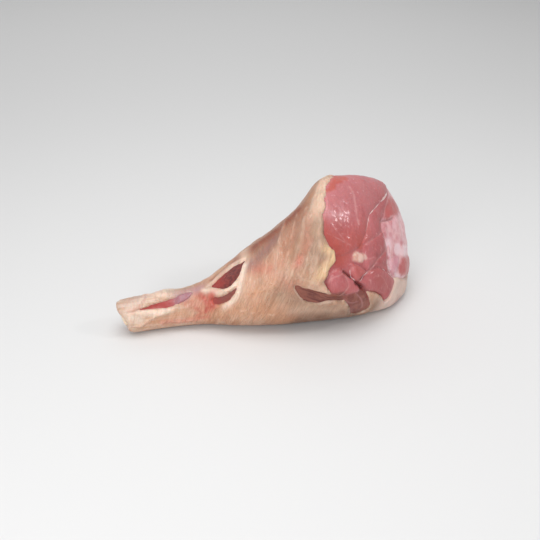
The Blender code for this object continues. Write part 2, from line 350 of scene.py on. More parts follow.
def inside_depth(x, y, outline):
    """Distance from a closed smooth outline, above zero inside it."""
    closed = curve(outline, closed=True)
    closed = closed + closed[:1]
    within = np.zeros(len(x), bool)
    for (x0, y0), (x1, y1) in zip(closed[:-1], closed[1:]):
        if y0 != y1:
            within ^= ((y0 > y) != (y1 > y)) & (x < (x1 - x0) * (y - y0) / (y1 - y0) + x0)
    distance = line_distance(x, y, closed)
    return np.where(within, distance, -distance)


def face_inside(across, up, outline):
    """Depth inside an outline given in mm across and up the face."""
    return inside_depth(across, up, np.array(outline) / 1000)


# The bare lean's outline, in mm across and up the cut face. It also wraps over the face's edge.
LEAN_OUTLINE = [
    (-17, 80), (-26, 78), (-33, 75), (-40, 69), (-46, 63), (-52, 58), (-57, 50), (-61, 41), (-61, 33),
    (-59, 27), (-62, 20), (-68, 16), (-71, 11), (-73.5, 7), (-73.5, 2), (-71.5, -3), (-69, -7.5),
    (-64, -13.5), (-59, -19), (-55, -25), (-50, -31.5), (-43, -40), (-35, -45), (-32, -42), (-33, -34),
    (-36, -27), (-39, -20), (-35, -21), (-28, -25.5), (-21.5, -32), (-16, -39), (-11, -38), (-6, -35),
    (-2, -30), (2, -25), (10, -28), (18, -32), (28, -36), (42, -38), (58, -32), (68, -14), (72, 6),
    (70, 22), (64, 38), (54, 52), (42, 66), (26, 77), (6, 82),
]
LEAN_WRAP = 0.018
TOP_WRAP = 0.01
# The tears in the cover, in mm along X and degrees round the leg from its front over its top.
UPPER_TEAR = [
    (-28.5, 83), (-32, 73), (-34.5, 64.5), (-37.5, 56), (-40.5, 49), (-45, 46), (-52, 49), (-56.5, 59),
    (-60, 69), (-56, 77), (-50, 84), (-44, 88.5), (-39, 89), (-34, 87),
]
LOWER_TEAR = [
    (-39.5, 41), (-40.5, 33), (-43, 26.5), (-47, 20.5), (-52, 17), (-56, 16), (-59.5, 22), (-60.5, 32),
    (-58.5, 39), (-54, 36), (-50, 34), (-45.5, 37),
]
HOCK_TEAR = [
    (-129, 42), (-120, 49), (-110, 59), (-100, 65), (-90, 71), (-81, 78), (-76, 71), (-81, 54),
    (-90, 44), (-97, 38), (-110, 38), (-120, 43),
]
FLAP_TEAR = [
    (7.5, 14), (12, 12), (18, 5), (25, -2), (31, -8), (36, -13.5), (41, -16.5), (49, -19), (50, -28),
    (44, -26.5), (36, -23.5), (26, -20), (16, -11.5), (9.5, 2),
]
# Each tear with the leg's radius where it lies.
TEARS = [(0.025, UPPER_TEAR), (0.025, LOWER_TEAR), (0.0155, HOCK_TEAR), (0.05, FLAP_TEAR)]


def lean_depth(points):
    across, up, below = face_place(points)
    wrap = LEAN_WRAP + (TOP_WRAP - LEAN_WRAP) * ease(0.01, 0.04, up) * ease(0.01, -0.01, across)
    return np.minimum(face_inside(across, up, LEAN_OUTLINE), wrap - below)


def tear_depth(points):
    arc = np.radians(leg_angle(points))
    depth = np.full(len(points), -1.0)
    for radius, outline in TEARS:
        flat = [(x / 1000, math.radians(angle) * radius) for x, angle in outline]
        depth = np.maximum(depth, inside_depth(points[:, 0], arc * radius, flat))
    return depth


# The muscles' outlines in mm across and up the cut face, then how far each rises
# and over how much it rounds off, in mm.
ROUND = [
    (-34, 22), (-28, 26), (-20, 31), (-13, 36), (-7, 41), (8, 42.5), (26, 43.5), (42, 44.5), (56, 50),
    (46, 68), (24, 82), (-6, 86), (-30, 80), (-44, 68), (-58, 52), (-63, 36), (-60, 24), (-48, 21),
]
NARROW_MUSCLE = [
    (40, 44), (26, 43.5), (8, 42), (-7, 40.5), (-13, 35.5), (-23, 28), (-31, 22), (-16, 21.5), (-4, 22),
    (2, 29), (14, 35), (32, 38),
]
MIDDLE_MUSCLE = [
    (2, 20), (-5, 21), (-16, 21), (-30, 21), (-34, 9), (-37, -1), (-28, 0.5), (-20, 3), (-11, 4.5),
    (-3, 6),
]
LOW_MUSCLE = [
    (-4, 4), (-11, 3.5), (-20, 2), (-28, -0.5), (-37, -2.5), (-29, -2), (-19, -5.5), (-10, -14),
    (-6, -9),
]
CORNER_MUSCLE = [
    (-46.5, -7), (-39, -3.5), (-29, -2.2), (-19, -6), (-10, -14), (1, -25), (-3, -32), (-8, -36),
    (-16, -38.5), (-21.5, -31.5), (-28, -25.5), (-35, -21), (-40, -18), (-44, -11),
]
BALL = [
    (-72.5, 2), (-71.5, 7), (-69.5, 11), (-66, 13.5), (-62, 13.5), (-58, 9), (-54, 1), (-49, -6),
    (-47, -10), (-47.5, -14.5), (-54, -14), (-60, -13), (-66, -12), (-70.5, -7),
]
BALL_RING = [(-59, 8), (-58, 2), (-58, -4), (-61, -8), (-64, -11)]
KNOB = [
    (-50, 13), (-47, 10.5), (-42, 6.5), (-39, 2), (-38, -1), (-45, -4), (-49, -5.5), (-52, 1), (-52, 5),
    (-50.5, 9),
]
FAT_PATCH = [(-42, 18.5), (-37, 17), (-33, 13), (-33, 10), (-37, 9), (-41, 9), (-45.5, 12), (-46.5, 16)]
PINK_LUMP = [(2, -6), (17, -10), (14, -18), (4, -21), (-2, -16), (-2, -10)]
RED_LUMP = [(22, -15), (36, -18), (54, -24), (60, -32), (46, -38), (30, -35), (19, -30), (15, -23)]
MUSCLES = [
    (ROUND, 1.8, 12), (NARROW_MUSCLE, 1, 6), (MIDDLE_MUSCLE, 1.4, 6), (LOW_MUSCLE, 1, 5),
    (CORNER_MUSCLE, 3.6, 9), (BALL, 4.4, 11), (KNOB, 4, 4.5), (FAT_PATCH, 1, 3), (PINK_LUMP, 1.6, 6),
    (RED_LUMP, 1.2, 7),
]
# Grooves on the cut face, each with its depth and half width in mm.
CREVICE_TOP = [(-58, 8), (-55.5, 4.5), (-53, 0.5)]
CREVICE_LOW = [(-49.5, -6), (-46.5, -9), (-43.5, -13)]
CREVICE_END = [(-43.5, -13), (-40.5, -18), (-38, -24)]
DARK_FOLD = [(6, 30.5), (11, 28), (20, 25.5), (29, 24)]
BORDER_SEAM = [(4, 27), (1, 20), (1, 10), (-2, 2), (-5, -8), (-4, -14), (1, -24)]
GROOVES = [
    (CREVICE_TOP, 2.2, 1.4), (CREVICE_LOW, 3.2, 1.8), (CREVICE_END, 1.4, 1.6), (DARK_FOLD, 1.4, 1.4),
    (BORDER_SEAM, 1, 2.2), (BALL_RING, 0.6, 1.2),
]
# Lumps at the face's rim: across, up, half sizes and rise in mm.
RIM_LUMPS = [(30, -50, 14, 8, 2), (66, 10, 14, 16, 1.2), (-30, 80, 16, 12, -2.2)]
RIM_DEPTH = 0.03
# Bellies and hollows along lines in mm and degrees on the leg, with half width and rise in mm.
BELLIES = [
    ([(-101, 112), (-99, 114)], 8, 1.8), ([(-40, 166), (0, 172), (60, 176)], 14, -2.4),
    ([(-30, 205), (40, 212), (80, 214)], 16, 2.2), ([(-20, 140), (30, 142)], 14, 1.4),
    ([(-136, 152), (-85, 150)], 3.5, -1.2), ([(-20, 20), (20, 38), (26, 52)], 12, 1),
]
# The hollow in the sawn end: X, Z, size and rise in metres.
SAW_HOLLOW = (-0.14, 0.0135, 0.0125, -0.0042)


def swell(points):
    """Broad relief that lean and cover share: the lumps at the rim and the muscles' bellies and hollows."""
    across, up, below = face_place(points)
    near_rim = ease(RIM_DEPTH, 0, np.abs(below))
    height = np.zeros(len(points))
    for middle_across, middle_up, half_across, half_up, rise in RIM_LUMPS:
        from_across = (1000 * across - middle_across) / half_across
        from_up = (1000 * up - middle_up) / half_up
        height += rise / 1000 * np.exp(-from_across ** 2 - from_up ** 2) * near_rim
    hollow_x, hollow_z, hollow_size, hollow_rise = SAW_HOLLOW
    from_hollow = np.hypot(points[:, 0] - hollow_x, points[:, 2] - hollow_z) / hollow_size
    height += hollow_rise * np.exp(-from_hollow ** 2) * ease(-0.13, -0.136, points[:, 0])
    under_cover = 1 - ease(-0.003, 0.003, lean_depth(points))
    for line, half_width, rise in BELLIES:
        height += rise / 1000 * np.exp(-(leg_distance(points, line) / half_width) ** 2) * under_cover
    return height


def settle(points):
    """1 on the leg, falling to 0 close to the board, where the meat's weight presses it flat."""
    return ease(0.001, 0.01, points[:, 2])


LEAN_DROP = 0.0016
LEAN_UNDER_COVER = 0.0022
LEAN_IN_TEARS = 0.0026
FILM_FROM = -0.0905
FILM_RISE = 0.0018
LEAN_SEGMENTS = 400
LEAN_RINGS = 245
LEAN_LOWEST = 0.0008
HOCK_SHARE = 0.03
LEAN_FACE_SHARE = 0.56


def lean_rise(points):
    """How far the muscles' surface lies outside the smooth leg."""
    across, up, below = face_place(points)
    bare = lean_depth(points)
    torn = tear_depth(points)
    on_face = ease(-0.003, 0.002, bare)
    drop = LEAN_DROP * (1 - 1.4 * ease(0.012, 0.034, across) * ease(0.066, 0.048, up))
    rise = -drop * on_face - LEAN_UNDER_COVER * (1 - on_face)
    rise -= (LEAN_IN_TEARS - LEAN_UNDER_COVER) * ease(-0.001, 0.003, torn)
    film = ease(FILM_FROM, FILM_FROM + 0.002, points[:, 0]) * ease(-0.066, -0.07, points[:, 0])
    rise += FILM_RISE * film * ease(-0.001, 0.001, torn)
    for outline, muscle_rise, rounding in MUSCLES:
        to_crest = 1 - np.clip(1000 * face_inside(across, up, outline) / rounding, 0, 1)
        rise += muscle_rise / 1000 * np.sqrt(1 - to_crest ** 2) * on_face
    for line, groove_depth, half_width in GROOVES:
        rise -= groove_depth / 1000 * np.exp(-(face_distance(across, up, line) / half_width) ** 2) * on_face
    return rise + swell(points)


lean, share, turn = fine_ball("lean", LEAN_SEGMENTS, LEAN_RINGS)
lean_points = skin(share, turn, HOCK_SHARE, LEAN_FACE_SHARE)
across, up, _ = face_place(lean_points)
bare = lean_depth(lean_points)
torn = tear_depth(lean_points)
on_face = ease(-0.003, 0.002, bare)
lumps = 0.0005 * grain(lean_points, 0.01, 1) + 0.00025 * grain(lean_points, 0.0035, 2)
rise = lean_rise(lean_points) + lumps * (on_face + ease(-0.001, 0.003, torn))
lean_skin = lean_points + outward(lean_points) * (rise * settle(lean_points))[:, None]
lean_skin[:, 2] = np.maximum(lean_skin[:, 2], LEAN_LOWEST)
shape(lean, lean_skin)


def spots(places):
    """Soft spots on the cut face: each across, up and half sizes in mm, and strength."""
    total = np.zeros(len(across))
    for middle_across, middle_up, half_across, half_up, strength in places:
        from_across = (1000 * across - middle_across) / half_across
        from_up = (1000 * up - middle_up) / half_up
        total += strength * np.exp(-from_across ** 2 - from_up ** 2)
    return np.clip(total, 0, 1)


def zone(outline, outer, inner, ragged=1.0):
    """1 inside an outline on the cut face, fading from inner inside its ragged edge to outer outside it."""
    return ease(-outer, inner, face_inside(across, up, outline) + ragged * waver)


def strokes(lines):
    """Soft strokes along lines on the cut face, each with a half width in mm and a strength."""
    total = np.zeros(len(across))
    for line, half_width, strength in lines:
        total = np.maximum(total, strength * np.exp(-(face_distance(across, up, line) / half_width) ** 2))
    return total


# Where the cut face is tinted, in mm across and up it.
TOP_STRIP = [(-34, 74), (-27, 77.5), (-19, 80), (-9, 79), (-2, 76), (-8, 73.5), (-16, 74.5), (-25, 72.5)]
EMBER_SPOTS = [
    (-57, 36, 6, 16, 0.7), (-44, 30, 16, 10, 0.55), (-34, 21.5, 3, 2.5, 1.0), (-54, 18, 8, 6, 0.6),
    (-60, -8, 8, 6, 0.4), (-30, 27, 8, 5, 0.5), (-18, 34, 4, 10, 0.4),
]
BRIGHT_RED = [(14, 30), (26, 26), (54, 22), (56, 30), (50, 39), (38, 40), (24, 37)]
MEMBRANE = [(7, 27), (14, 25), (16, 20), (11, 13), (8, 4), (4, 3), (2, 12), (3, 20)]
WHITE_PATCH = [(15, 4), (30, -3), (50, -12), (58, -18), (48, -21), (34, -16), (25, -12), (11, -4)]
PALE_BAND = [(24, 22), (38, 22), (58, 18), (72, 6), (68, -8), (54, -9), (30, 0), (17, 8)]
SILVER_ZONES = [(MEMBRANE, 0.28), (WHITE_PATCH, 0.9), (PALE_BAND, 0.26)]
# The strong spot on the membrane, 4 mm across and 9 up, is a painted highlight; the other two are pale
# silverskin.
SILVER_AND_GLARE_SPOTS = [(4, 9, 6, 5, 1.0), (-44, 58, 8, 6, 0.3), (-36, 52, 6, 6, 0.2)]
WHITE_BORDER = [(5, 4), (0, -3), (-2, -9), (-1, -16), (5, -23), (14, -29), (28, -35)]
BROWN_MEAT = [
    (-66, -12), (-59, -13), (-54, -14), (-48, -15.5), (-45.5, -13), (-43, -14.5), (-39, -19), (-35, -27),
    (-30, -34), (-28, -46), (-44, -46), (-56, -34), (-66, -18),
]
BORDER_TISSUE = [
    (56, 46), (40, 42), (24, 37), (11, 31), (4, 27), (1, 20), (1, 10), (-2, 0), (-5, -8), (-4, -14),
    (2, -24), (14, -32), (30, -40), (70, -40), (80, 0), (76, 40),
]
VEINS = [
    ([(-46, 62), (-44, 56), (-44, 50), (-43, 45)], 0.9, 0.7),
    ([(-50, 49), (-49, 41), (-46, 29)], 0.6, 0.5), ([(-58, 44), (-50, 34), (-44, 27)], 0.5, 0.5),
    (BALL_RING, 0.7, 0.9), ([(-72, 5), (-68, 8), (-62, 8), (-60, 8)], 0.6, 0.8),
    ([(5, 20), (-5, 21.5), (-16, 21.5), (-26, 21)], 1, 0.45),
    ([(-38, -3), (-28, -0.5), (-20, 2.5), (-11, 4), (-3, 5)], 0.7, 0.8),
    ([(-50, -16), (-44, -25), (-39, -36)], 0.5, 0.6), ([(-60, -17), (-53, -24), (-46, -26)], 0.5, 0.5),
    ([(-10, 68), (-12, 61), (-19, 52), (-24, 44), (-26, 39)], 1.2, 0.8),
    ([(-36, 12), (-30, 8), (-24, 7)], 0.6, 0.5), ([(-30, -8), (-22, -12), (-17, -22)], 0.6, 0.35),
]
# Deeper red strokes on the lean, partly painted shade: along its left edge, where the face turns from the
# light, and in the dips by the crevices and the corner muscle.
DEEP_RED_AND_SHADE_LINES = [
    ([(-52, 58), (-57, 50), (-60, 41), (-60, 33), (-58, 27), (-61, 19)], 5, 0.8),
    ([(-44, -3), (-47, 3), (-47, 9)], 2, 0.5), ([(-36, -4), (-24, -6), (-12, -16)], 3, 0.35),
    ([(-12, -28), (-18, -34)], 6, 0.5), ([(-28, -12), (-14, -22)], 8, 0.6),
    ([(-46, 52), (-38, 38), (-26, 34)], 10, 0.4), ([(-68, -4), (-62, -11)], 3, 0.4),
]
# Painted shade: dark strokes in the crevices, the dark fold, the notch by the ball and other gaps between the
# muscles.
CREVICE_SHADE_LINES = [
    (CREVICE_TOP, 1.3, 0.75), (CREVICE_LOW, 1.7, 0.95), (CREVICE_END, 2.2, 0.6), (DARK_FOLD, 1.2, 0.5),
    ([(-71.5, 10), (-73, 6), (-73, 1)], 1.6, 0.8), ([(-30, -1), (-20, 0), (-12, -5)], 3.5, 0.3),
    ([(-21, 8), (-13, 5), (-8, 8)], 2, 0.3),
]
lean_x = lean_points[:, 0]
lean_degrees = leg_angle(lean_points)
waver = 0.0016 * grain(lean_points, 0.007, 7) + 0.0008 * grain(lean_points, 0.0026, 8)
in_tears = ease(-0.003, 0.001, torn)
in_hock = in_tears * ease(-0.068, -0.074, lean_x)
in_lens = in_tears * ease(0.0, 0.006, lean_x)
in_leg_tears = in_tears * (1 - in_hock) * (1 - in_lens)
torn_left = ease(-0.044, -0.054, lean_x) * ease(50, 60, lean_degrees)
torn_left = np.maximum(torn_left, ease(-0.05, -0.06, lean_x))
embers = [spots(EMBER_SPOTS), 1.1 * zone(TOP_STRIP, 0.0012, 0.0012, 1.2), 0.4 * zone(KNOB, 0.001, 0.001)]
reds = np.maximum(zone(BRIGHT_RED, 0.002, 0.002), zone(RED_LUMP, 0.002, 0.002))
silver_and_glare = [strength * zone(outline, 0.0015, 0.002) for outline, strength in SILVER_ZONES]
silver_and_glare.append(spots(SILVER_AND_GLARE_SPOTS))
silver_and_glare.append(np.exp(-((face_distance(across, up, WHITE_BORDER) + 1000 * waver) / 3.4) ** 2))
paint(lean, "ember", np.max(embers, axis=0) * on_face)
paint(lean, "red", np.maximum(reds * on_face, in_hock))
# Deeper red with painted shade.
paint(lean, "deep_red_and_shade", strokes(DEEP_RED_AND_SHADE_LINES) * on_face)
# Painted light: the lean is paler towards the top of the cut face, where the light from above falls.
paint(lean, "top_light", ease(0.036, 0.062, up + 3 * waver))
# Pale silverskin, with a painted highlight on the membrane.
paint(lean, "silver_and_glare", np.max(silver_and_glare, axis=0) * on_face * (1 - 0.8 * zone(RED_LUMP, 0.002, 0.003)))
paint(lean, "vein", strokes(VEINS) * on_face * (0.6 + 0.6 * grain(lean_points, 0.004, 11)))
paint(lean, "brown", zone(BROWN_MEAT, 0.002, 0.003) * on_face * (1 - in_lens))
paint(lean, "lens", in_lens)
paint(lean, "bloody", in_tears * np.maximum(torn_left, in_hock))
paint(lean, "dusky", in_leg_tears * ease(46, 42, lean_degrees))
paint(lean, "torn", in_leg_tears)
paint(lean, "film", in_hock * ease(FILM_FROM - 0.009, FILM_FROM + 0.004, lean_x + 2 * waver))
paint(lean, "tissue", zone(BORDER_TISSUE, 0.0015, 0.0015) * on_face)
paint(lean, "lilac", zone(PINK_LUMP, 0.003, 0.003) * on_face)
paint(lean, "tallow", zone(FAT_PATCH, 0.0018, 0.0018, 1.3) * on_face)
# Painted shade in the gaps between the muscles.
paint(lean, "crevice_shade", strokes(CREVICE_SHADE_LINES) * on_face)


def read(tree, name, strength=1.0):
    """A painted number times a strength, as the material reads it."""
    value = node(tree, "Attribute", {}, attribute_name=name).outputs["Fac"]
    return value if strength == 1.0 else combine(tree, value, strength, "MULTIPLY")


def ramp(tree, value, low, high, start=0.0, end=1.0):
    """Maps a number from low..high to start..end, softly."""
    sockets = {"Value": value, "From Min": low, "From Max": high, "To Min": start, "To Max": end}
    return node(tree, "MapRange", sockets, interpolation_type="SMOOTHSTEP").outputs["Result"]


def mix(tree, share_of_b, a, b):
    """Mixes two colours."""
    colours = [c if isinstance(c, bpy.types.NodeSocket) else (*c, 1.0) for c in (a, b)]
    return node(tree, "Mix", {0: share_of_b, 6: colours[0], 7: colours[1]}, data_type="RGBA").outputs[2]


def combine(tree, a, b, operation="ADD"):
    return node(tree, "Math", {0: a, 1: b}, operation=operation).outputs[0]


def streaks(tree, scale, turn=(0.0, 0.0, 0.0), detail=3.0, roughness=0.55, distortion=0.0):
    """Random grain on the piece's own coordinates, turned and stretched by a scale for each axis."""
    place = node(tree, "TexCoord", {}).outputs["Object"]
    place = node(tree, "Mapping", {"Vector": place, "Rotation": turn}, vector_type="TEXTURE").outputs[0]
    place = node(tree, "Mapping", {"Vector": place, "Scale": scale}).outputs[0]
    sockets = {"Vector": place, "Scale": 1.0, "Detail": detail, "Roughness": roughness}
    return node(tree, "TexNoise", {**sockets, "Distortion": distortion}).outputs["Fac"]


def wet_skin(shader, scatter, scatter_size, coat):
    """The shader settings that raw meat's surfaces share: light under the skin and a film of moisture."""
    shader.inputs["Subsurface Weight"].default_value = scatter
    shader.inputs["Subsurface Radius"].default_value = (1.0, 0.35, 0.22)
    shader.inputs["Subsurface Scale"].default_value = scatter_size
    shader.inputs["Coat Weight"].default_value = coat
    shader.inputs["Coat Roughness"].default_value = 0.12
    shader.inputs["Specular IOR Level"].default_value = 0.35
    shader.inputs["IOR"].default_value = 1.4


lean_material, tree, shader = new_material("bare_muscle")
face_turn_angles = (0.0, 0.0, math.pi / 2 - FACE_TURN)
fibres = streaks(tree, (900.0, 900.0, 120.0), face_turn_angles, detail=4.0, distortion=0.3)
mottle = streaks(tree, (75.0, 75.0, 55.0), detail=4.0, roughness=0.6)
cloud = streaks(tree, (24.0, 24.0, 20.0), detail=2.0)
flecks = streaks(tree, (300.0, 300.0, 110.0), face_turn_angles, detail=2.0)
drops = streaks(tree, (420.0, 420.0, 420.0), detail=2.0)
long_fibres = streaks(tree, (40.0, 420.0, 420.0), (0.0, 0.35, 0.0), detail=3.0, distortion=0.3)
rose = mix(tree, ramp(tree, cloud, 0.35, 0.65), (0.41, 0.105, 0.108), (0.48, 0.14, 0.148))
rose = mix(tree, ramp(tree, mottle, 0.5, 0.72, 0.0, 0.8), rose, (0.37, 0.075, 0.078))
# painted light, paler towards the top of the face
rose = mix(tree, read(tree, "top_light", 0.6), rose, (0.53, 0.19, 0.198))
rose = mix(tree, ramp(tree, fibres, 0.5, 0.8, 0.0, 0.4), rose, (0.66, 0.3, 0.31))
rose = mix(tree, ramp(tree, flecks, 0.64, 0.74, 0.0, 0.4), rose, (0.78, 0.48, 0.5))
blotch = streaks(tree, (160.0, 160.0, 120.0), detail=3.0, distortion=0.6)
tissue = mix(tree, ramp(tree, blotch, 0.34, 0.72), (0.84, 0.48, 0.5), (0.62, 0.225, 0.245))
brown_meat = mix(tree, ramp(tree, blotch, 0.36, 0.62), (0.28, 0.092, 0.062), (0.19, 0.048, 0.033))
torn_meat = mix(tree, ramp(tree, long_fibres, 0.35, 0.65), (0.1, 0.02, 0.019), (0.21, 0.047, 0.038))
lens_meat = mix(tree, ramp(tree, long_fibres, 0.36, 0.6), (0.12, 0.027, 0.019), (0.26, 0.088, 0.058))
fat = mix(tree, ramp(tree, blotch, 0.4, 0.6), (0.78, 0.55, 0.46), (0.66, 0.38, 0.3))
for name, strength, colour in [
    ("tissue", 0.85, tissue),
    ("ember", 0.75, (0.47, 0.095, 0.068)),
    ("red", 0.9, (0.48, 0.092, 0.086)),
    ("lilac", 0.6, (0.58, 0.22, 0.29)),
    # deeper red with painted shade
    ("deep_red_and_shade", 0.75, (0.37, 0.06, 0.048)),
    ("brown", 0.92, brown_meat),
    ("torn", 0.95, torn_meat),
    ("lens", 0.95, lens_meat),
    ("dusky", 0.7, (0.29, 0.082, 0.064)),
    ("bloody", 0.72, (0.36, 0.052, 0.044)),
    ("film", 0.85, (0.37, 0.195, 0.225)),
    ("tallow", 0.85, fat),
]:
    rose = mix(tree, read(tree, name, strength), rose, colour)
# pale silverskin with a painted highlight on the membrane
silver_and_glare = combine(tree, read(tree, "silver_and_glare"), ramp(tree, mottle, 0.34, 0.54), "MULTIPLY")
rose = mix(tree, silver_and_glare, rose, (0.86, 0.61, 0.64))
rose = mix(tree, read(tree, "vein", 0.75), rose, (0.68, 0.36, 0.35))
# painted shade in the crevices
rose = mix(tree, read(tree, "crevice_shade", 0.9), rose, (0.19, 0.038, 0.032))
tree.links.new(rose, shader.inputs["Base Color"])
gloss = ramp(tree, mottle, 0.3, 0.7, 0.32, 0.48)
gloss = combine(tree, gloss, combine(tree, silver_and_glare, 0.15, "MULTIPLY"), "SUBTRACT")
tree.links.new(gloss, shader.inputs["Roughness"])
height = combine(tree, combine(tree, fibres, 0.45, "MULTIPLY"), mottle)
height = combine(tree, height, ramp(tree, drops, 0.55, 0.75, 0.0, 0.5))
bump = node(tree, "Bump", {"Height": height, "Strength": 0.7, "Distance": 0.0007})
tree.links.new(bump.outputs[0], shader.inputs["Normal"])
wet_skin(shader, 0.3, 0.0018, 0.35)
lean.data.materials.append(lean_material)
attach(lean, "root")
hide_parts("shank")


# The fat cover: the fell with its fat, a creamy pink skin over the whole leg. It is rolled and ragged where
# it ends at the cut face, torn open in four places, and drawn over the sawn hock. Its points near an edge
# are slid on to that edge, and beyond it the cover dips under the lean.
EDGE_WAVER = 0.0009
EDGE_FRAY = 0.0004
EDGE_STEP = 0.0009
TEAR_DIP = 0.005
FACE_DIP = 0.01
COVER_SEGMENTS = 330
COVER_RINGS = 300
COVER_FACE_SHARE = 0.33
RING_STEP = 0.0012
cover, share, turn = fine_ball("fat_cover", COVER_SEGMENTS, COVER_RINGS)
cover_points = skin(share, turn, HOCK_SHARE, COVER_FACE_SHARE)
waver = EDGE_WAVER * grain(cover_points, 0.0075, 3) + EDGE_FRAY * grain(cover_points, 0.0022, 4)
waver *= 1 + 1.6 * ease(0.045, 0.06, face_place(cover_points)[1])


def cover_depth(points):
    """How far each point lies inside the cover, below zero where the lean is bare."""
    return -np.maximum(lean_depth(points), tear_depth(points))


depth = cover_depth(cover_points) + waver
slope = slope_of(cover_depth, cover_points)
out = outward(cover_points)
slope -= (slope * out).sum(1)[:, None] * out
steepness = np.maximum((slope ** 2).sum(1), 0.3)
round_step = math.pi * profile(WIDTH, cover_points[:, 0]) / COVER_SEGMENTS
lengthwise = np.abs(slope[:, 0]) / np.sqrt(steepness)
snap_reach = 0.5 * (lengthwise * RING_STEP + (1 - lengthwise) * round_step)
at_edge = np.abs(depth) < snap_reach
cover_points[at_edge] -= (slope * (depth / steepness)[:, None])[at_edge]
gradient = slope_of(outside, cover_points[at_edge])
steep = (gradient ** 2).sum(1)
cover_points[at_edge] -= gradient * (outside(cover_points[at_edge]) / steep)[:, None]
depth[at_edge] = 0.0

# Strands and creases along lines in mm and degrees on the leg, with half width and rise in mm.
STRANDS = [
    ([(11, 106), (4, 87), (-1, 71), (-3, 58), (-6, 44)], 1.3, 0.7),
    ([(26, 89), (22, 78), (19, 67), (15, 57), (12, 50), (9, 40), (6, 28)], 1.4, 0.8),
    ([(32, 69), (33, 61), (30, 54), (31, 40), (28, 33), (27, 28)], 1.4, 0.9),
    ([(-5, 68), (-10, 63), (-13, 58), (-13, 50), (-16, 38)], 1.1, 0.5),
    ([(19, 96), (14, 82), (9, 68), (4, 54), (2, 42)], 1, 0.4),
    ([(39, 34), (37, 25), (35, 20), (33, 13)], 1.2, 0.9),
    ([(12, 24), (21, 12), (31, -1), (36, -11)], 1.4, 0.7), ([(-24, 62), (-26, 48), (-30, 36)], 1.2, 0.5),
    ([(-136, 49), (-136, 19), (-130, -12), (-122, -11), (-114, 8), (-104, 19), (-91, 27)], 1.6, 1.1),
    ([(-106, -14), (-98, -12), (-92, -17), (-83, -19), (-70, -20)], 1.4, 0.6),
    ([(-104, -30), (-106, -20), (-102, -10)], 1.8, 0.8),
    ([(-123, 34), (-116, 33), (-107, 24), (-98, 27)], 2.2, 0.8),
    ([(-118, 108), (-107, 92), (-94, 84), (-84, 84)], 2, 0.8),
]
CREASES = [
    ([(-116, 96), (-118, 78), (-120, 61), (-122, 48)], 1.1, -1),
    ([(-121, 45), (-128, 41), (-133, 40)], 1, -0.9), ([(-58, 88), (-48, 98), (-39, 106)], 2, -0.7),
    ([(-64, 38), (-64, 22), (-66, 8)], 1.2, -0.8), ([(30, 88), (24, 68), (19, 50)], 2.2, -0.4),
]
TENDON = [(-66, 62), (-61, 56), (-56, 45), (-51, 42), (-45, 42), (-40, 45)]
TEAR_LIP = [(-29, 85), (-34, 89), (-43, 92), (-51, 87), (-58, 79), (-63, 70)]
across, up, below = face_place(cover_points)
bare = lean_depth(cover_points)
by_face = ease(0.012, 0.0, np.abs(bare + 0.002))
roll = by_face * (0.0007 * np.exp(-((depth - 0.0016) / 0.0018) ** 2) + 0.0005 * ease(0.0, 0.002, depth))
slanted = cover_points - 0.4 * cover_points[:, 2:] * [1.0, 0.0, 0.0]
wrinkles = 0.00045 * grain(slanted * [2.4, 0.5, 0.5], 0.012, 5)
wrinkles += 0.00025 * grain(slanted * [2.2, 0.7, 0.7], 0.0048, 6)
strand_reach = np.zeros(len(cover_points))
patches = 0.5 + 0.9 * grain(cover_points, 0.006, 9)
rise = roll + swell(cover_points) + wrinkles * ease(0.0, 0.004, depth) - 0.0003
lips = [(TENDON, 2.6, 0.8), (TEAR_LIP, 1.8, 0.2)]
for line, half_width, strand_rise in STRANDS + CREASES + lips:
    reach = np.exp(-(leg_distance(cover_points, line) / half_width) ** 2)
    rise += strand_rise / 1000 * reach * (0.6 + 0.8 * patches)
    if strand_rise > 0:
        strand_reach = np.maximum(strand_reach, reach * np.clip(patches, 0, 1))
dip = FACE_DIP + (TEAR_DIP - FACE_DIP) * ease(0.002, -0.002, bare)
covered = rise - EDGE_STEP * np.exp(-depth / 0.0006)
rise = np.where(depth >= 0, covered, -dip * ease(0.0, -0.002, depth) - EDGE_STEP)
cover_skin = cover_points + outward(cover_points) * (rise * settle(cover_points))[:, None]
under_lean = (depth < -0.001) & (cover_points[:, 2] < 0.01)
cover_skin[under_lean] = (cover_points - 0.003 * outward(cover_points))[under_lean]
shape(cover, cover_skin)

# Where the cover is tinted: lines in mm and degrees on the leg, half width in mm and strength.
WHITE_LINES = [
    (TENDON, 2.6, 1.0), (TEAR_LIP, 1.5, 0.5),
    ([(-30.5, 70), (-33.5, 57), (-36, 44), (-38, 32), (-42, 21), (-49, 12)], 3, 0.9),
    ([(-131, 60), (-118, 80), (-108, 98), (-96, 100)], 6, 0.5),
    ([(-124, 36), (-116, 32), (-107, 26), (-98, 30)], 3, 0.9),
    ([(-134, 40), (-131, 22), (-124, 10)], 5, 0.7), ([(-31, 79), (-36, 82), (-43, 85)], 2, 0.8),
]
CREAM_LINES = [
    ([(-28, 109), (-31, 76), (-37, 51), (-40, 29), (-45, 16)], 5.5, 0.8),
    ([(28, 72), (31, 50), (32, 30)], 4, 0.3), ([(-37, -3), (-35, -5), (-33, -4)], 0.8, 0.6),
    ([(-28, -12), (-26, -10)], 0.7, 0.5), ([(-13, -18), (-10, -21), (-9, -19)], 0.8, 0.6),
    ([(6, -20), (30, -32), (44, -38)], 6, 0.4), ([(33, 66), (36, 46), (37, 30)], 3, 0.3),
]
PEACH_LINES = [
    ([(-30, 52), (-28, 38), (-26, 24)], 9.5, 0.9), ([(-16, 58), (-12, 42), (-10, 30)], 5, 0.6),
    ([(-72, 30), (-80, 14), (-92, 2)], 8, 0.6),
]
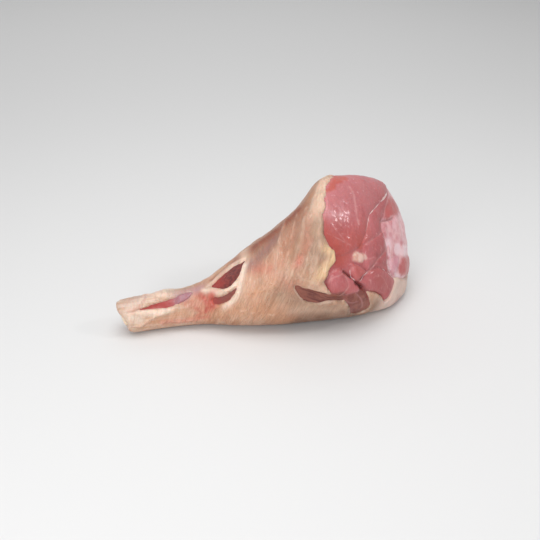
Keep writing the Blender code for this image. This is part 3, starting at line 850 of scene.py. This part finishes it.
TAN_LINES = [
    ([(-62, 4), (-40, 0), (-21, -6), (-6, -22), (0, -34)], 13, 0.9),
    ([(-122, -10), (-110, 0), (-96, 8), (-84, 8)], 5, 0.8),
    ([(-120, -30), (-95, -20), (-75, -10)], 6, 0.6), ([(-29, 18), (-20, 23), (-11, 27)], 6, 0.8),
    ([(31, 98), (27, 95), (23, 97)], 4.5, 0.8), ([(33, 80), (34, 66)], 6, 0.5),
    ([(-50, 215), (40, 205)], 18, 0.5), ([(-68, 80), (-66, 66)], 4, 0.6),
]
# Grey tone, partly painted shade: along the face's left edge, where the top turns away from the light, and
# low on the front of the thick part.
GREY_AND_SHADE_LINES = [
    ([(18, 92), (17, 70), (14, 55), (10, 46)], 4.5, 0.9), ([(26, 92), (28, 74), (29, 60)], 6.5, 0.5),
    ([(2, 16), (-2, 6), (10, -4)], 9, 0.6), ([(8, -8), (26, -20), (44, -30)], 7, 0.8),
    ([(-30, 150), (30, 152)], 12, 0.4), ([(-132, 84), (-122, 104)], 5, 0.35),
    ([(-95, 95), (-80, 90)], 4, 0.5),
]
BLUSH_LINES = [
    ([(13, 41), (12, 38)], 4.5, 1.0), ([(17, 44), (22, 52)], 4, 0.6),
    ([(-10, 42), (4, 60), (22, 84)], 10, 0.3), ([(-24, 60), (-18, 52), (-12, 46)], 6, 0.7),
    ([(-104, -12), (-92, -16), (-80, -18), (-64, -10)], 3, 0.8),
    ([(-84, 50), (-76, 34), (-70, 22)], 5, 0.7), ([(6, 16), (0, 24)], 7, 0.4),
    ([(-122, 52), (-132, 44)], 3, 0.6), ([(-20, 160), (50, 168)], 15, 0.5),
    ([(-116, 96), (-118, 78), (-121, 60)], 1.2, 0.8),
    ([(-72, 62), (-70, 48), (-66, 30), (-64, 8)], 4.5, 0.8), ([(26, 74), (22, 62), (18, 52)], 4, 0.5),
]
BLOOD_LINES = [
    ([(-60, 42), (-61, 32), (-60, 20)], 4.6, 1.0), ([(-68, 54), (-66, 42), (-64, 28)], 2.4, 0.8),
    ([(-65, 16), (-66, 6)], 1.8, 0.9), ([(-74, 20), (-70, 4), (-74, -2)], 1.8, 0.5),
]
BRUISE_LINES = [
    ([(-32, 101), (-19, 98), (-11, 99), (0, 100), (9, 100), (20, 102)], 8.2, 1.0),
    ([(-58, 86), (-47, 92), (-40, 99), (-31, 92)], 2.6, 0.8),
]
PURPLE_LINES = [
    ([(-4, 84), (-7, 78), (-14, 72), (-20, 67), (-27, 66)], 6.5, 0.9), ([(-80, 92), (-72, 84)], 4, 0.4),
]
LILAC_LINES = [
    ([(-90, 74), (-82, 76), (-75, 74), (-68, 76)], 4.6, 0.85),
    ([(-134, 72), (-124, 88), (-114, 104)], 6, 0.35), ([(-84, 52), (-79, 60)], 2.4, 0.6),
]


def tint(lines):
    """Soft strokes of one tint along lines on the leg."""
    total = np.zeros(len(cover_points))
    for line, half_width, strength in lines:
        total = np.maximum(total, strength * np.exp(-(leg_distance(cover_points, line) / half_width) ** 2))
    return total


cover_x = cover_points[:, 0]
degrees = leg_angle(cover_points)
face_edge = ease(0.014, 0.001, -bare) * ease(0.022, 0.01, below) * (0.25 + 0.75 * ease(0.05, 0.066, up))
right_band = ease(-0.006, 0.014, across) * ease(0.045, 0.02, np.abs(below))
low_rim = ease(0.028, 0.012, -bare) * ease(-0.01, -0.024, up) * ease(-0.03, -0.014, across)
inner_fat = ease(0.01, 0.002, -bare) * ease(0.04, 0.03, up) * ease(0.006, 0.014, up)
inner_fat *= ease(-0.03, -0.05, across)
edge_shade = ease(0.02, 0.008, -bare) * ease(0.016, 0.028, up) * ease(0.064, 0.054, up)
edge_shade *= ease(0.0, -0.02, across)
paint(cover, "edge", depth)
paint(cover, "strand", strand_reach)
paint(cover, "white", tint(WHITE_LINES))
paint(cover, "cream", np.maximum(tint(CREAM_LINES), 0.9 * face_edge * (1 - right_band)))
paint(cover, "rim", low_rim)
paint(cover, "yellow", inner_fat)
paint(cover, "tan", tint(TAN_LINES))
# Grey tone with painted shade, and the painted shade along the face's left edge.
paint(cover, "grey_and_shade", np.maximum(tint(GREY_AND_SHADE_LINES), 0.95 * edge_shade))
paint(cover, "blush", tint(BLUSH_LINES))
paint(cover, "blood", tint(BLOOD_LINES))
paint(cover, "rosy", right_band * (1 - low_rim))
paint(cover, "bruise", tint(BRUISE_LINES))
paint(cover, "purple", tint(PURPLE_LINES))
paint(cover, "hock", ease(-0.07, -0.092, cover_x))
# Painted shade: the cover is darker towards the board, low on the thick part, where the underside lies in
# shade.
paint(cover, "under", ease(0.034, 0.021, cover_points[:, 2]) * ease(-0.022, 0.012, cover_x))
paint(cover, "peach", tint(PEACH_LINES))
paint(cover, "lilac", tint(LILAC_LINES))
# Painted shade: the cover is darker over the top of the leg's thick part, where less light falls.
paint(cover, "top_shade", ease(60, 84, degrees) * ease(165, 110, degrees) * ease(-0.05, -0.02, cover_x))
paint(cover, "behind", np.maximum(ease(105, 140, degrees), ease(-40, -70, degrees)) * (1 - right_band))

cover_material, tree, shader = new_material("fat_cover")
slant = (0.0, math.atan(0.4), 0.0)
ring_streaks = streaks(tree, (330.0, 55.0, 55.0), slant, detail=4.0, roughness=0.6, distortion=0.5)
broad_streaks = streaks(tree, (110.0, 22.0, 22.0), slant, detail=3.0, roughness=0.55, distortion=0.4)
long_streaks = streaks(tree, (45.0, 420.0, 420.0), detail=4.0, roughness=0.6, distortion=0.4)
mottle = streaks(tree, (60.0, 60.0, 60.0), detail=4.0, roughness=0.6)
cloud = streaks(tree, (28.0, 30.0, 30.0), detail=2.0)
crinkle = streaks(tree, (900.0, 420.0, 420.0), slant, detail=3.0)
thin_places = streaks(tree, (30.0, 14.0, 14.0), slant, detail=5.0, roughness=0.6, distortion=0.6)
thick_places = streaks(tree, (26.0, 18.0, 18.0), slant, detail=5.0, roughness=0.65, distortion=0.8)
wavy = streaks(tree, (260.0, 60.0, 60.0), slant, detail=3.0, roughness=0.6, distortion=1.3)
from_ridge = combine(tree, combine(tree, wavy, 0.5, "SUBTRACT"), 0.0, "ABSOLUTE")
fell = mix(tree, ramp(tree, cloud, 0.4, 0.6), (0.43, 0.24, 0.152), (0.55, 0.345, 0.24))
for pattern, low, high, strength, colour in [
    (mottle, 0.5, 0.72, 0.7, (0.53, 0.262, 0.185)),
    (thin_places, 0.5, 0.58, 0.5, (0.57, 0.29, 0.185)),
    (thick_places, 0.5, 0.58, 0.5, (0.55, 0.4, 0.285)),
    (broad_streaks, 0.47, 0.62, 0.6, (0.66, 0.46, 0.335)),
    (broad_streaks, 0.45, 0.32, 0.7, (0.36, 0.192, 0.122)),
    (ring_streaks, 0.5, 0.66, 0.45, (0.74, 0.52, 0.395)),
    (ring_streaks, 0.44, 0.3, 0.45, (0.4, 0.19, 0.122)),
]:
    fell = mix(tree, ramp(tree, pattern, low, high, 0.0, strength), fell, colour)
hock_fell = mix(tree, ramp(tree, long_streaks, 0.4, 0.6), (0.57, 0.37, 0.25), (0.7, 0.555, 0.455))
fell = mix(tree, read(tree, "hock"), fell, hock_fell)
for pattern, low, high, colour in [
    (thin_places, 0.5, 0.62, (0.5, 0.185, 0.15)),
    (thick_places, 0.52, 0.6, (0.76, 0.58, 0.45)),
]:
    strength = combine(tree, read(tree, "behind"), ramp(tree, pattern, low, high, 0.0, 0.75), "MULTIPLY")
    fell = mix(tree, strength, fell, colour)
fell = mix(tree, ramp(tree, from_ridge, 0.022, 0.0, 0.0, 0.38), fell, (0.8, 0.58, 0.45))
patchy = ramp(tree, mottle, 0.28, 0.62, 0.7, 1.0)
for name, strength, colour in [
    # painted shade over the top of the thick part
    ("top_shade", 0.75, (0.33, 0.18, 0.112)),
    # painted shade on the underside towards the board
    ("under", 0.95, (0.13, 0.07, 0.043)),
    ("peach", 0.7, (0.7, 0.43, 0.305)),
    ("tan", 0.8, (0.6, 0.3, 0.17)),
    # grey tone with painted shade
    ("grey_and_shade", 0.8, (0.27, 0.172, 0.112)),
    ("blush", 0.9, (0.58, 0.2, 0.142)),
    ("purple", 0.9, (0.28, 0.14, 0.128)),
    ("lilac", 0.85, (0.46, 0.275, 0.29)),
    ("bruise", 1.0, (0.27, 0.076, 0.04)),
    ("cream", 0.8, (0.8, 0.57, 0.435)),
    ("rim", 0.9, (0.86, 0.64, 0.55)),
    ("rosy", 0.9, (0.76, 0.39, 0.4)),
    ("yellow", 0.9, (0.8, 0.55, 0.32)),
    ("white", 0.95, (0.84, 0.68, 0.565)),
    ("blood", 1.0, (0.5, 0.08, 0.062)),
]:
    fell = mix(tree, combine(tree, read(tree, name, strength), patchy, "MULTIPLY"), fell, colour)
fell = mix(tree, read(tree, "strand", 0.4), fell, (0.74, 0.52, 0.4))
torn_edge = ramp(tree, read(tree, "edge"), 0.0009, 0.0)
torn_edge = combine(tree, torn_edge, ramp(tree, mottle, 0.42, 0.6, 0.1, 0.6), "MULTIPLY")
for name in ["hock", "blood"]:
    torn_edge = combine(tree, torn_edge, combine(tree, 1.0, read(tree, name), "SUBTRACT"), "MULTIPLY")
fell = mix(tree, torn_edge, fell, (0.8, 0.6, 0.48))
tree.links.new(fell, shader.inputs["Base Color"])
tree.links.new(ramp(tree, mottle, 0.3, 0.7, 0.36, 0.52), shader.inputs["Roughness"])
height = combine(tree, broad_streaks, ramp(tree, from_ridge, 0.05, 0.0, 0.0, 0.35))
height = combine(tree, height, combine(tree, ring_streaks, 0.45, "MULTIPLY"))
height = combine(tree, height, combine(tree, crinkle, 0.14, "MULTIPLY"))
bump = node(tree, "Bump", {"Height": height, "Strength": 0.75, "Distance": 0.0011})
tree.links.new(bump.outputs[0], shader.inputs["Normal"])
wet_skin(shader, 0.28, 0.0016, 0.16)
cover.data.materials.append(cover_material)
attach(cover, "root")


# The silverskin: thin white bands of tissue between the muscles of the cut face and along their edges.
# Each is a flat tapered strip grown on to the muscle, and lies along a line given in mm on the face.
SILVER_THICKNESS = 0.0003
SILVER_LINES = [
    ([(42, 44.5), (26, 43.8), (8, 42.3), (-7, 40.5)], 0.8),
    ([(44, 44.8), (35, 44.5), (26, 43.9), (17, 43.1)], 1.8),
    ([(-7, 40.5), (-13, 36), (-17, 33), (-24, 28.5)], 0.4),
    ([(-46.5, -7), (-39, -3.3), (-29, -2.0), (-19, -5.8), (-10, -14), (-1, -25)], 0.6),
    ([(-4, 0), (-6, -8), (-4, -14), (1, -24)], 0.8), ([(-50, 13), (-52, 6), (-52, 1), (-49.5, -5)], 0.6),
]


def tube_faces(rings, around, first):
    """The faces of a shut tube of rings of corners, from the number of its first corner."""
    faces = []
    for i in range(rings - 1):
        low = first + i * around
        for j in range(around):
            k = (j + 1) % around
            faces.append((low + j, low + k, low + around + k, low + around + j))
    last = first + (rings - 1) * around
    faces.append(tuple(range(first + around - 1, first - 1, -1)))
    faces.append(tuple(range(last, last + around)))
    return faces


def smooth_piece(name, corners, faces):
    """A piece made of those corners and faces, shaded smooth."""
    mesh = bpy.data.meshes.new(name)
    mesh.from_pydata(corners, [], faces)
    mesh.update()
    mesh.polygons.foreach_set("use_smooth", [True] * len(mesh.polygons))
    piece = bpy.data.objects.new(name, mesh)
    bpy.context.collection.objects.link(piece)
    return piece


def band(points, normals, half_width):
    """The corners of a flat band along points: rings of eight, tapered to both ends."""
    run = np.gradient(points, axis=0)
    side = np.cross(run, normals)
    side /= np.linalg.norm(side, axis=1)[:, None]
    place = np.linspace(-1, 1, len(points))
    taper = np.sqrt(np.clip(1.02 - np.abs(place) ** 2.5, 0.02, 1))[:, None]
    rings = []
    for t in np.radians(np.arange(0, 360, 45)):
        offset = math.cos(t) * half_width * side + math.sin(t) * SILVER_THICKNESS * normals
        rings.append(points + taper * offset)
    return np.stack(rings, axis=1).reshape(-1, 3)


def along_face(line):
    """Points along a line on the muscles of the cut face, and the directions out of them."""
    places = np.array(curve(line)) / 1000
    sag = (places ** 2).sum(1) / (2 * FACE_DOME) + 0.02
    start = FACE_TOP + places[:, :1] * face_across + places[:, 1:] * face_up - sag[:, None] * face_normal
    points = cast(start, np.tile(face_normal, (len(start), 1)))
    out = outward(points)
    return points + out * lean_rise(points)[:, None], out


silver_corners = []
silver_faces = []
for line, half_width in SILVER_LINES:
    points, out = along_face(line)
    silver_faces += tube_faces(len(points), 8, len(silver_corners))
    silver_corners += [tuple(c) for c in band(points - 0.0001 * out, out, half_width / 1000) + CENTRING]
silverskin = smooth_piece("silverskin", silver_corners, silver_faces)
silver_material, tree, shader = new_material("silverskin")
sheen_patches = streaks(tree, (300.0, 300.0, 300.0), detail=2.0)
white = mix(tree, ramp(tree, sheen_patches, 0.35, 0.65), (0.84, 0.63, 0.61), (0.7, 0.4, 0.39))
tree.links.new(white, shader.inputs["Base Color"])
shader.inputs["Roughness"].default_value = 0.28
wet_skin(shader, 0.3, 0.001, 0.4)
silverskin.data.materials.append(silver_material)
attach(silverskin, "root")


# The sawn bone: the shin bone's end in the hock, a hard cream ring round the marrow. It stands half a
# millimetre out of the flesh, square to the saw cut, which faces the floor a little.
BONE_PLACE = (HOCK_X + 0.0036, -0.0125, 0.013)
bone_axis = np.array([-math.cos(HOCK_LEAN), 0.0, -math.sin(HOCK_LEAN)])
bone_side = np.array([0.0, 1.0, 0.0])
bone_top = np.cross(bone_side, bone_axis)
BONE_STEPS = 48
BONE_OUTLINE = [(6.9, -3.0), (7.1, 0.3), (6.8, 0.7), (4.8, 0.7), (4.4, 0.5), (4.2, -1.0)]


def turned(name, outline):
    """A slightly uneven round body about the bone's axis, from an outline of radii and heights in mm."""
    corners = []
    for radius, height in outline:
        for step in range(BONE_STEPS):
            angle = math.tau * step / BONE_STEPS
            uneven = 1 + 0.07 * math.sin(2 * angle + 1.0) + 0.03 * math.sin(5 * angle + 2.0)
            flat = math.cos(angle) * bone_side + math.sin(angle) * bone_top
            corner = BONE_PLACE + flat * radius * uneven / 1000 + bone_axis * height / 1000 + CENTRING
            corners.append(tuple(corner))
    return smooth_piece(name, corners, tube_faces(len(outline), BONE_STEPS, 0))


bone = turned("sawn_bone", BONE_OUTLINE)
bone_material, tree, shader = new_material("bone")
pores = streaks(tree, (1400.0, 1400.0, 1400.0), detail=2.0)
ivory = mix(tree, ramp(tree, pores, 0.45, 0.7), (0.8, 0.68, 0.52), (0.66, 0.4, 0.28))
tree.links.new(ivory, shader.inputs["Base Color"])
bump = node(tree, "Bump", {"Height": pores, "Strength": 0.5, "Distance": 0.0004})
tree.links.new(bump.outputs[0], shader.inputs["Normal"])
shader.inputs["Roughness"].default_value = 0.5
wet_skin(shader, 0.2, 0.0015, 0.1)
bone.data.materials.append(bone_material)
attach(bone, "root")


# The marrow: soft dark red grains that fill the bone's ring, a little hollow below its rim. It sits inside
# the ring and touches it all round.
MARROW_OUTLINE = [(4.5, -2.5), (4.5, -0.1), (3.2, 0.3), (1.8, 0.1), (0.5, 0.2)]
marrow = turned("marrow", MARROW_OUTLINE)
marrow_material, tree, shader = new_material("marrow")
grains = streaks(tree, (900.0, 900.0, 900.0), detail=3.0)
dark_red = mix(tree, ramp(tree, grains, 0.4, 0.65), (0.34, 0.06, 0.045), (0.6, 0.26, 0.19))
tree.links.new(dark_red, shader.inputs["Base Color"])
bump = node(tree, "Bump", {"Height": grains, "Strength": 0.7, "Distance": 0.0006})
tree.links.new(bump.outputs[0], shader.inputs["Normal"])
shader.inputs["Roughness"].default_value = 0.4
wet_skin(shader, 0.25, 0.0015, 0.3)
marrow.data.materials.append(marrow_material)
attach(marrow, "root")
